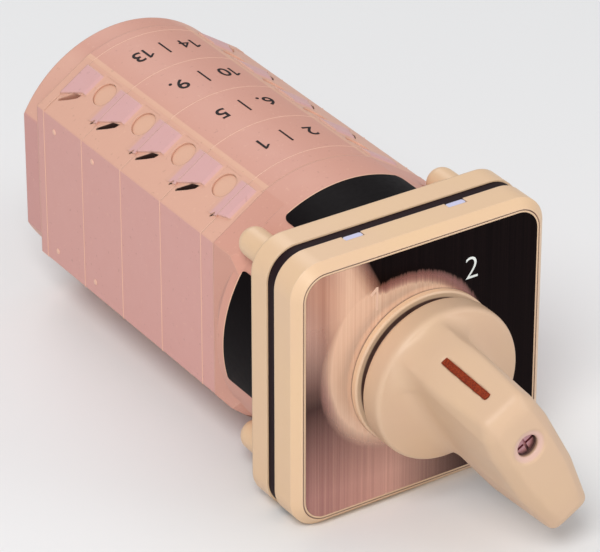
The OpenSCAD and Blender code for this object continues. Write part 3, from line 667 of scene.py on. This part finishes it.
# %% Stripe and metals
DOT_SCALE = 3600
PLATING_SCALE = 180
SCRATCH_SCALE = (2500, 200, 2500)


def granular_inlay(name):
    mat, tree, bsdf, place = new_material(name)
    grains = noise(tree, place, DOT_SCALE, 2)
    dots = ramp(tree, grains, (0.42, 0.0), (0.62, 1.0))
    colour = mix(tree, dots, srgb(108, 32, 8), srgb(146, 54, 18))
    bsdf.inputs["Specular IOR Level"].default_value = 0.2
    bump = bumped(tree, 0.5, 0.05, grains)
    feed(tree, bsdf, Base_Color=colour, Roughness=0.6, Normal=bump)
    return mat


def plated(name, base, tarnish, roughness):
    mat, tree, bsdf, place = new_material(name)
    clouds = noise(tree, place, PLATING_SCALE, 4)
    scratches = noise(tree, stretched(tree, place, SCRATCH_SCALE), 1.0, 2)
    colour = mix(tree, clouds * 0.7, base, tarnish)
    bump = bumped(tree, 0.2, 0.005, scratches)
    feed(tree, bsdf, Base_Color=colour, Metallic=1.0, Roughness=roughness + 0.2 * clouds, Normal=bump)
    return mat


stripe_inlay = granular_inlay("stripe_inlay")
brass = plated("contact_brass", srgb(214, 178, 112), srgb(180, 138, 82), roughness=0.25)
steel = plated("plated_steel", srgb(206, 204, 202), srgb(168, 166, 166), roughness=0.24)
# Painted reflection: the screw's steel is tinted with the rosy tone of its recess.
steel_with_painted_reflection = plated("steel_with_painted_reflection", srgb(206, 160, 164), srgb(150, 100, 108), roughness=0.20)
spring_wire = plated("spring_wire", srgb(190, 190, 192), srgb(150, 150, 154), roughness=0.3)
print("stripe and metals:", stripe_inlay.name, brass.name, steel.name, spring_wire.name)

# %% [markdown]
# ## Give every solid its finish
# A solid keeps its shape and only gets a material. The stages repeat their pieces with a
# number at the end of the name, so each finish goes by how the names start. Where two
# starts fit, as for the knob and its screw, the later line holds.

# %% Assign the finishes
FINISHES = [
    (("mounting_flange",), cream_plastic),
    (("collar",), collar_plastic),
    (("front_frame",), frame_plastic),
    (("knob",), knob_plastic),
    (("detent_housing",), salmon_plastic),
    (("rear_cap",), cap_plastic),
    (("spacer_block", "stage_housing", "rear_plate"), stage_plastic),
    (("terminal_covers",), cover_plastic),
    (("legend_plate",), plate_metal),
    (("gasket",), gasket_rubber),
    (("label_",), label_foil),
    (("pointer_insert",), stripe_inlay),
    (("star_wheel", "detent_plunger", "cam_", "follower"), white_plastic),
    (("bridge", "fixed_contacts"), brass),
    (("shaft", "tie_rods", "terminal_screws"), steel),
    (("knob_screw",), steel_with_painted_reflection),
    (("detent_spring", "contact_spring"), spring_wire),
]
for name, obj in nodes.items():
    chosen = [mat for starts, mat in FINISHES if name.startswith(starts)][-1]
    for slot in obj.material_slots:
        slot.material = chosen
print("finishes given to", len(nodes), "solids")

# %% [markdown]
# ## Soft knob
# The solid knob is made of flat facets, while the real one is one soft moulding: the
# handle grows out of the round base with wide hollows, and no edge is sharp. A Bevel
# modifier rounds edges but can't make those hollows. Instead the skin is made even and
# each point is moved towards the middle of its neighbours, many times where the handle
# meets the base, and seldom at the screw recess, the stripe, the rim and the socket,
# which stay crisp. `in_knob` turns a point into its place along the handle, across it
# and over the plate. The foot of the handle is at FOOT_H, and what is added there fades
# over FOOT_SPREAD up and down and over RIM_FADE towards the rim.

# %% How often each point of the knob is smoothed
KNOB_TURN = math.radians(30)
EVERYWHERE = 12
RIM_R, RIM_FADE = 17.3, 2.0
FOOT_H, FOOT_SPREAD = 13.0, 4.8
BESIDE_HANDLE, HANDLE_HALF = 420, 4.5
AHEAD_OF_HANDLE, NOSE = 260, 9
AT_SCREW, SCREW_R, SCREW_DEPTH = 3, 5.0, 6
AT_STRIPE, STRIPE_HALF, STRIPE_LOW = 4, 1.6, 16
AT_BASE, BASE_H = 6, 7.5
SOCKET_R, SOCKET_TOP, SOCKET_HALF = 9, 30, 4


def in_knob(points):
    c, s = math.cos(KNOB_TURN), math.sin(KNOB_TURN)
    x, y, z = (points / MM).T
    return c * z - s * x, c * x + s * z, FACE_Y - y


def smooth_counts(points):
    ahead, across, height = in_knob(points)
    across = np.abs(across)
    radius = np.hypot(ahead, across)
    rim = np.clip((RIM_R - radius) / RIM_FADE, 0, 1)
    foot = np.exp(-((height - FOOT_H) / FOOT_SPREAD) ** 2) * rim
    counts = EVERYWHERE + BESIDE_HANDLE * foot * np.clip(across / HANDLE_HALF, 0, 1)
    counts += AHEAD_OF_HANDLE * foot * (ahead > NOSE)
    screw = (radius < SCREW_R) & (height > HANDLE_H - SCREW_DEPTH)
    stripe = (across < STRIPE_HALF) & (ahead > NOSE) & (height > STRIPE_LOW)
    socket = (radius < SOCKET_R) & (height < SOCKET_TOP) & (across < SOCKET_HALF)
    counts[screw] = AT_SCREW
    counts[stripe] = AT_STRIPE
    counts[(height < BASE_H) | socket] = AT_BASE
    return counts


print("the foot of the handle is smoothed up to", EVERYWHERE + BESIDE_HANDLE, "times")

# %% [markdown]
# A solid's mesh comes as loose triangles, so a copy of it is merged first. The normals
# that came with it no longer fit then, so they are dropped and each face shades flat. A
# voxel remesh gives the knob an even skin. The smoothing is written with arrays, because
# a loop over single points would take minutes: the two ends of every edge are added up
# at each other's point, and the sum is divided by the number of edges that meet there.

# %% Remesh and smooth
VOXEL = 0.34


def merged_copy(source, name):
    mesh = source.data.copy()
    merged = bmesh.new()
    merged.from_mesh(mesh)
    bmesh.ops.remove_doubles(merged, verts=merged.verts, dist=1e-6)
    merged.to_mesh(mesh)
    merged.free()
    old_normals = mesh.attributes.get("custom_normal")
    if old_normals:
        mesh.attributes.remove(old_normals)
    mesh.shade_flat()
    copy = bpy.data.objects.new(name, mesh)
    scene.collection.objects.link(copy)
    return copy


def plain_mesh(obj):
    bpy.context.view_layer.update()
    return bpy.data.meshes.new_from_object(obj.evaluated_get(bpy.context.evaluated_depsgraph_get()))


def even_skin(source, voxel):
    copy = merged_copy(source, "skin_copy")
    remesh = copy.modifiers.new("even_skin", "REMESH")
    remesh.mode = "VOXEL"
    remesh.voxel_size = voxel * MM
    mesh = plain_mesh(copy)
    bpy.data.objects.remove(copy)
    return mesh


def smooth(mesh, counts_of):
    points = np.empty(len(mesh.vertices) * 3)
    mesh.vertices.foreach_get("co", points)
    points = points.reshape(-1, 3)
    pairs = np.empty(len(mesh.edges) * 2, dtype=int)
    mesh.edges.foreach_get("vertices", pairs)
    one, two = pairs.reshape(-1, 2).T
    total = len(points)
    degree = np.bincount(one, minlength=total) + np.bincount(two, minlength=total)
    counts = counts_of(points)
    for turn in range(int(counts.max())):
        sums = [
            np.bincount(one, points[two, k], total) + np.bincount(two, points[one, k], total)
            for k in range(3)
        ]
        middle = np.stack(sums, axis=1) / degree[:, None]
        share = np.clip(counts - turn, 0, 1)[:, None] * 0.5
        points += (middle - points) * share
    mesh.vertices.foreach_set("co", points.ravel())
    mesh.update()
    mesh.shade_smooth()


knob_mesh = even_skin(nodes["knob"], VOXEL)
smooth(knob_mesh, smooth_counts)
knob_mesh.materials.clear()
knob_mesh.materials.append(knob_plastic)
knob_shell = bpy.data.objects.new("knob_shell", knob_mesh)
scene.collection.objects.link(knob_shell)
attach(knob_shell, "rotor")
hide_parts("knob")
print("knob skin:", len(knob_mesh.polygons), "faces")

# %% [markdown]
# ## Repeated small pieces with Geometry Nodes
# Seams, pins and clips repeat, so each is one small tree with named sizes. The tree puts
# instances on points, makes them real and gives them their material. The result is
# taken as a plain mesh that rides on the housing. Copies made by hand would look the
# same, but here a size is changed in one place.


# %% Trees with named inputs
def new_tree(name, sockets):
    tree = bpy.data.node_groups.new(name, "GeometryNodeTree")
    tree.interface.new_socket("Geometry", in_out="INPUT", socket_type="NodeSocketGeometry")
    for label, kind in sockets.items():
        tree.interface.new_socket(label, in_out="INPUT", socket_type="NodeSocket" + kind)
    tree.interface.new_socket("Geometry", in_out="OUTPUT", socket_type="NodeSocketGeometry")
    source = tree.nodes.new("NodeGroupInput")
    return tree, {socket.name: Value(tree, socket) for socket in source.outputs if socket.name}


def close_tree(tree, points, instance, material):
    copies = node(tree, "GeometryNodeInstanceOnPoints", None, {"Points": points, "Instance": instance})
    real = node(tree, "GeometryNodeRealizeInstances", None, {"Geometry": copies})
    dressed = node(tree, "GeometryNodeSetMaterial", None, {"Geometry": real, "Material": material})
    target = tree.nodes.new("NodeGroupOutput")
    tree.links.new(dressed.socket, target.inputs[0])


def grown(name, tree, points, edges, settings):
    mesh = bpy.data.meshes.new(name + "_base")
    mesh.from_pydata([tuple(c * MM for c in p) for p in points], edges, [])
    base = bpy.data.objects.new(name + "_base", mesh)
    scene.collection.objects.link(base)
    modifier = base.modifiers.new("grow", "NODES")
    modifier.node_group = tree
    for item in tree.interface.items_tree:
        if item.in_out == "INPUT" and item.name in settings:
            modifier[item.identifier] = settings[item.name]
    result = plain_mesh(base)
    bpy.data.objects.remove(base)
    result.polygons.foreach_set("material_index", [0] * len(result.polygons))
    result.materials.clear()
    result.materials.append(settings["Material"])
    obj = bpy.data.objects.new(name, result)
    scene.collection.objects.link(obj)
    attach(obj, "housing")
    print(name, len(result.polygons), "faces")


print("tree helpers ready")

# %% [markdown]
# A fine ridge of flash stands at every joint of the stack, on the side flats and on the
# round top and bottom. It is too thin for the solids, so it is added here. Its outline
# is drawn once as four open lines, which lie a little inside the surface, and a thin
# round profile runs along them. A row of points repeats it at each joint.

# %% Seam ridges
SEAM_R = 0.15
FLAT_SUNK = 0.04
ROUND_SUNK = 0.09
ARC_STEPS = 24
seam_tree, put = new_tree("seam_ridges", {
    "Seams": "Int", "Pitch": "Float", "Ridge radius": "Float", "Material": "Material",
})
lines = node(seam_tree, "GeometryNodeMeshToCurve", None, {"Mesh": put["Geometry"]})
ring = node(seam_tree, "GeometryNodeCurvePrimitiveCircle", None, {
    "Resolution": 8, "Radius": put["Ridge radius"],
})
ridge = node(seam_tree, "GeometryNodeCurveToMesh", None, {
    "Curve": lines, "Profile Curve": ring, "Fill Caps": True,
})
step = node(seam_tree, "ShaderNodeCombineXYZ", None, {"Y": put["Pitch"]})
joints = node(seam_tree, "GeometryNodeMeshLine", None, {"Count": put["Seams"], "Offset": step})
close_tree(seam_tree, joints, ridge, put["Material"])

points, edges = [], []
flat_x = HALF_W - FLAT_SUNK
round_r = BODY_R - ROUND_SUNK
half_arc = math.asin(RIB_X / BODY_R)
for side in (-1, 1):
    edges.append((len(points), len(points) + 1))
    points += [(side * flat_x, STACK_Y0, -FLAT_Z), (side * flat_x, STACK_Y0, FLAT_Z)]
    for i in range(ARC_STEPS + 1):
        angle = half_arc * (2 * i / ARC_STEPS - 1)
        if i:
            edges.append((len(points) - 1, len(points)))
        points.append((round_r * math.sin(angle), STACK_Y0, side * round_r * math.cos(angle)))
grown("stage_seams", seam_tree, points, edges, {
    "Seams": STAGES + 1, "Pitch": PITCH * MM, "Ridge radius": SEAM_R * MM, "Material": seam_plastic,
})

# %% [markdown]
# Two locating pins show on each side flat of the two rear stages, a little ahead of the
# rear end of the stage. Their ends are low domes. A ball that is pressed flat across the
# switch and half sunk in the plastic gives such a dome, with no opening to close.

# %% Pins on the side flats
PIN_R = 0.7
PIN_FLATNESS = 0.35
PIN_AHEAD = 4.7
PIN_Z = 15.5
pin_tree, put = new_tree("side_pins", {"Pin radius": "Float", "Material": "Material"})
ball = node(pin_tree, "GeometryNodeMeshUVSphere", None, {
    "Segments": 24, "Rings": 12, "Radius": put["Pin radius"],
})
dome = node(pin_tree, "GeometryNodeTransform", None, {"Geometry": ball, "Scale": (PIN_FLATNESS, 1, 1)})
close_tree(pin_tree, put["Geometry"], dome, put["Material"])
points = [
    (side * HALF_W, STACK_Y0 + stage * PITCH - PIN_AHEAD, z)
    for side in (-1, 1) for stage in (STAGES - 1, STAGES) for z in (-PIN_Z, PIN_Z)
]
grown("side_pins", pin_tree, points, [], {
    "Pin radius": PIN_R * MM, "Material": seam_plastic,
})

# %% [markdown]
# In each notch at the frame's rear edge sits the tongue of a snap clip, in a bluish
# plastic. The frame is clipped on with them. A tongue is a rounded rectangle made thick:
# the filled outline is extruded, and a flipped copy of it closes the other end.

# %% Snap clips
CLIP_W, CLIP_LONG, CLIP_THICK, CLIP_CORNER = 4.5, 1.6, 1.0, 0.55
CLIP_X = 13
CLIP_AHEAD = 0.85
CLIP_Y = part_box("front_frame")[1].y / MM - CLIP_AHEAD
CLIP_BOTTOMS = (-31.85, 30.85)
clip_tree, put = new_tree("snap_clips", {
    "Width": "Float", "Length": "Float", "Thickness": "Float", "Corner": "Float", "Material": "Material",
})
square = node(clip_tree, "GeometryNodeCurvePrimitiveQuadrilateral", None, {
    "Width": put["Width"], "Height": put["Length"],
})
outline = node(clip_tree, "GeometryNodeFilletCurve", {"mode": "POLY"}, {
    "Curve": square, "Radius": put["Corner"], "Count": 6,
})
sheet = node(clip_tree, "GeometryNodeFillCurve", {"mode": "NGONS"}, {"Curve": outline})
thick = node(clip_tree, "GeometryNodeExtrudeMesh", None, {
    "Mesh": sheet, "Offset Scale": put["Thickness"], "Individual": False,
})
back = node(clip_tree, "GeometryNodeFlipFaces", None, {"Mesh": sheet})
both = node(clip_tree, "GeometryNodeJoinGeometry")
for half in (back, thick):
    clip_tree.links.new(half.socket, both.socket.node.inputs[0])
tongue = node(clip_tree, "GeometryNodeMergeByDistance", None, {"Geometry": both, "Distance": 1e-7})
close_tree(clip_tree, put["Geometry"], tongue, put["Material"])
points = [(x, CLIP_Y, bottom) for bottom in CLIP_BOTTOMS for x in (-CLIP_X, CLIP_X)]
grown("snap_clips", clip_tree, points, [], {
    "Width": CLIP_W * MM, "Length": CLIP_LONG * MM, "Thickness": CLIP_THICK * MM,
    "Corner": CLIP_CORNER * MM, "Material": clip_plastic,
})

# %% [markdown]
# ## Printed numbers
# The terminal numbers are printed in black on the rounded top and bottom of each stage,
# to be read from the rear. A picture on the surface would blur from near by, so the ink
# is a thin mesh. Text is given a little thickness and turned into a mesh. The 1 is drawn
# point by point, as a plain stroke with a flag, because the font's own one has a foot.
# The 4 keeps the font's own weight, because a bolder one fills up its eye. The sizes
# within a figure are shares of its height, and a figure's height is FIGURE_SHARE of the
# font's size.

# %% Figures as thin meshes
FIGURE_SHARE = 0.72


def slab(outline, depth):
    n = len(outline)
    points = [(x, y, z) for z in (-depth, depth) for x, y in outline]
    faces = [tuple(reversed(range(n))), tuple(range(n, 2 * n))]
    faces += [(i, (i + 1) % n, n + (i + 1) % n, n + i) for i in range(n)]
    return points, faces


def figure_one(height, stroke, depth):
    half = stroke / 2
    top = height / 2
    outline = [
        (half, top), (-half, top),
        (-half - 0.27 * height, top - 0.24 * height), (-half - 0.20 * height, top - 0.33 * height),
        (-half, top - 0.17 * height), (-half, -top), (half, -top),
    ]
    return slab(outline, depth)


def font_figure(letter, height, weight, depth):
    curve = bpy.data.curves.new("letter", "FONT")
    curve.body = letter
    curve.size = height / FIGURE_SHARE
    curve.extrude = depth
    curve.offset = weight
    curve.align_x = "CENTER"
    curve.align_y = "CENTER"
    curve.resolution_u = 6
    obj = bpy.data.objects.new("letter", curve)
    scene.collection.objects.link(obj)
    mesh = plain_mesh(obj)
    points = [tuple(v.co) for v in mesh.vertices]
    faces = [tuple(p.vertices) for p in mesh.polygons]
    bpy.data.objects.remove(obj)
    bpy.data.curves.remove(curve)
    bpy.data.meshes.remove(mesh)
    ends = [p[1] for p in points]
    centre = (min(ends) + max(ends)) / 2
    return [(x, y - centre, z) for x, y, z in points], faces


def one_figure(letter, height, stroke, weight, depth):
    if letter == "1":
        return figure_one(height, stroke, depth)
    if letter == "4":
        return font_figure(letter, height, 0.0, depth)
    return font_figure(letter, height, weight, depth)


print("figures ready")

# %% [markdown]
# The figures of a number are set one after another with a small space between. The font
# could set the whole number, but not with the 1 that is drawn here. The point that tells
# a 6 from a 9 sinks to the foot of the line, moves a little closer and doesn't count
# when the number is centred. All the prints of one kind become one mesh, whose doubles
# are merged before its normals are made to point outwards.

# %% Numbers from figures
DOT_DOWN = 0.44
DOT_CLOSER = 0.08
FIGURE_GAP = 0.17


def number_points(words, height, stroke, weight, depth):
    points, faces = [], []
    pen = 0.0
    middle = 0.0
    for letter in words:
        own, own_faces = one_figure(letter, height, stroke, weight, depth)
        if letter == ".":
            own = [(x, y - DOT_DOWN * height, z) for x, y, z in own]
            pen -= DOT_CLOSER * height
        left = min(p[0] for p in own)
        base = len(points)
        points += [(x - left + pen, y, z) for x, y, z in own]
        faces += [tuple(base + i for i in face) for face in own_faces]
        pen = max(p[0] for p in points)
        if letter != ".":
            middle = pen / 2
        pen += FIGURE_GAP * height
    return [(x - middle, y, z) for x, y, z in points], faces


def mesh_object(name, parts, material):
    points, faces = [], []
    for part_points, part_faces in parts:
        base = len(points)
        points += part_points
        faces += [tuple(base + i for i in face) for face in part_faces]
    mesh = bpy.data.meshes.new(name)
    mesh.from_pydata(points, [], faces)
    shell = bmesh.new()
    shell.from_mesh(mesh)
    bmesh.ops.remove_doubles(shell, verts=shell.verts, dist=1e-7)
    bmesh.ops.recalc_face_normals(shell, faces=shell.faces)
    shell.to_mesh(mesh)
    shell.free()
    mesh.materials.append(material)
    obj = bpy.data.objects.new(name, mesh)
    scene.collection.objects.link(obj)
    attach(obj, "housing")
    return obj


print("number helpers ready")

# %% [markdown]
# A bar stands between the two numbers of a stage. The prints could be pressed on with a
# Shrinkwrap modifier, but the top is a plain cylinder, so each point is wrapped by sums:
# its place across becomes an angle, and its thickness is added to the radius. The lower
# numbers go on the same way, turned by half a turn round the switch axis.

# %% Terminal numbers
DIGIT_H = 4.2
DIGIT_STROKE = 0.55
DIGIT_WEIGHT = 0.055
FIRST_X, BAR_X, SECOND_X = -5.2, 0.55, 7.1
BAR_HALF_W, BAR_HALF_H = 0.22, 2.8
INK_DEPTH = 0.03
INK_LIFT = 0.035


def on_top(points, x0, y0, lower):
    side = -1 if lower else 1
    wrapped = []
    for x, y, z in points:
        angle = (x0 - x) / BODY_R
        r = BODY_R + INK_LIFT + z
        wrapped.append((side * r * math.sin(angle) * MM, (y0 - y) * MM, side * r * math.cos(angle) * MM))
    return wrapped


def terminal_number(number):
    words = f"{number}." if number in (6, 9) else str(number)
    return number_points(words, DIGIT_H, DIGIT_STROKE, DIGIT_WEIGHT, INK_DEPTH)


def dividing_bar():
    w, h = BAR_HALF_W, BAR_HALF_H
    return slab([(-w, -h), (w, -h), (w, h), (-w, h)], INK_DEPTH)


parts = []
for stage in range(STAGES):
    y = STACK_Y0 + (stage + 0.5) * PITCH
    for lower in (False, True):
        first = 4 * stage + (3 if lower else 1)
        prints = [
            (terminal_number(first), FIRST_X),
            (dividing_bar(), BAR_X),
            (terminal_number(first + 1), SECOND_X),
        ]
        parts += [(on_top(points, x, y, lower), faces) for (points, faces), x in prints]
numbers = mesh_object("terminal_numbers", parts, black_ink)
print("terminal numbers:", len(numbers.data.polygons), "faces")

# %% [markdown]
# The position numbers stand upright on the legend plate, the 1 to the upper left of the
# knob and the 2 to its upper right, at the two ends of the pointer's way. They are taller
# than the terminal numbers and slimmer, so a weight below nought thins the font. The
# plate is flat, so the points need no wrapping.

# %% Position numbers on the legend plate
POSITION_H = 5.6
POSITION_STROKE = 0.5
POSITION_WEIGHT = -0.10
POSITION_X, POSITION_Z = 12.4, 19.9
POSITION_DEPTH = 0.02
POSITION_LIFT = 0.005


def on_plate(points, x0, z0):
    return [((x0 + x) * MM, (FACE_Y - POSITION_LIFT - z) * MM, (z0 + y) * MM) for x, y, z in points]


parts = []
for words, side in (("1", -1), ("2", 1)):
    points, faces = number_points(words, POSITION_H, POSITION_STROKE, POSITION_WEIGHT, POSITION_DEPTH)
    parts.append((on_plate(points, side * POSITION_X, POSITION_Z), faces))
position_numbers = mesh_object("position_numbers", parts, white_ink)
print("position numbers:", len(position_numbers.data.polygons), "faces")

# %% [markdown]
# ## Copies of the upper springs
# As the knob turns, each upper follower is lifted and its spring grows shorter. A rigid
# spring would cut into the follower. Here a merged copy of each upper solid spring is put
# on the housing in place of the solid, and it keeps its length. The lower followers move
# away from their springs, which keep their length.

# %% Upper contact springs
for stage in range(1, STAGES + 1):
    solid = f"contact_spring_upper_{stage}"
    spring = merged_copy(nodes[solid], f"{solid}_coil")
    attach(spring, "housing")
    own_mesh(spring)
    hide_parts(solid)

# %% [markdown]
# ## Labels with round corners
# The solid labels have square corners. Each is replaced by a thin foil, bent round the
# drum, whose ends are drawn in by a quarter circle. A flat sheet with a bend modifier
# would do too, but its corners would need cutting. Here the foil is built column by
# column: a column is a place along the arc and how far both its ends are drawn in. The
# middle of a foil and half its reach are angles in degrees, clockwise from the top as
# seen from the front.

# %% Bent foils
FOIL_T = 0.2
CORNER_STEPS = 8
EVEN_STEPS = 40


def foil_columns(reach, corner):
    turns = [math.radians(90) * i / CORNER_STEPS for i in range(CORNER_STEPS + 1)]
    start = [(corner * (1 - math.cos(turn)) - reach, corner * (1 - math.sin(turn))) for turn in turns]
    even = [((reach - corner) * (2 * i / EVEN_STEPS - 1), 0) for i in range(1, EVEN_STEPS)]
    return start + even + [(-along, inset) for along, inset in reversed(start)]


def bent_foil(solid, middle, half, corner):
    low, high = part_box(solid)
    outer = max(high.z, -low.x) / MM
    inner = outer - FOIL_T
    points, faces = [], []
    for along, inset in foil_columns(outer * math.radians(half), corner):
        angle = math.radians(middle) + along / outer
        front, back = low.y + inset * MM, high.y - inset * MM
        for r, y in ((outer, front), (outer, back), (inner, back), (inner, front)):
            points.append((r * math.sin(angle) * MM, y, r * math.cos(angle) * MM))
    for a in range(0, len(points) - 4, 4):
        faces += [(a + k, a + (k + 1) % 4, a + 4 + (k + 1) % 4, a + 4 + k) for k in range(4)]
    faces += [(3, 2, 1, 0), tuple(len(points) - 4 + k for k in range(4))]
    foil = mesh_object(f"{solid}_foil", [(points, faces)], label_foil)
    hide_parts(solid)


bent_foil("label_top", middle=-2.5, half=28.5, corner=2.2)
bent_foil("label_side", middle=-81, half=24.5, corner=1.3)
print("labels bent round the drum")
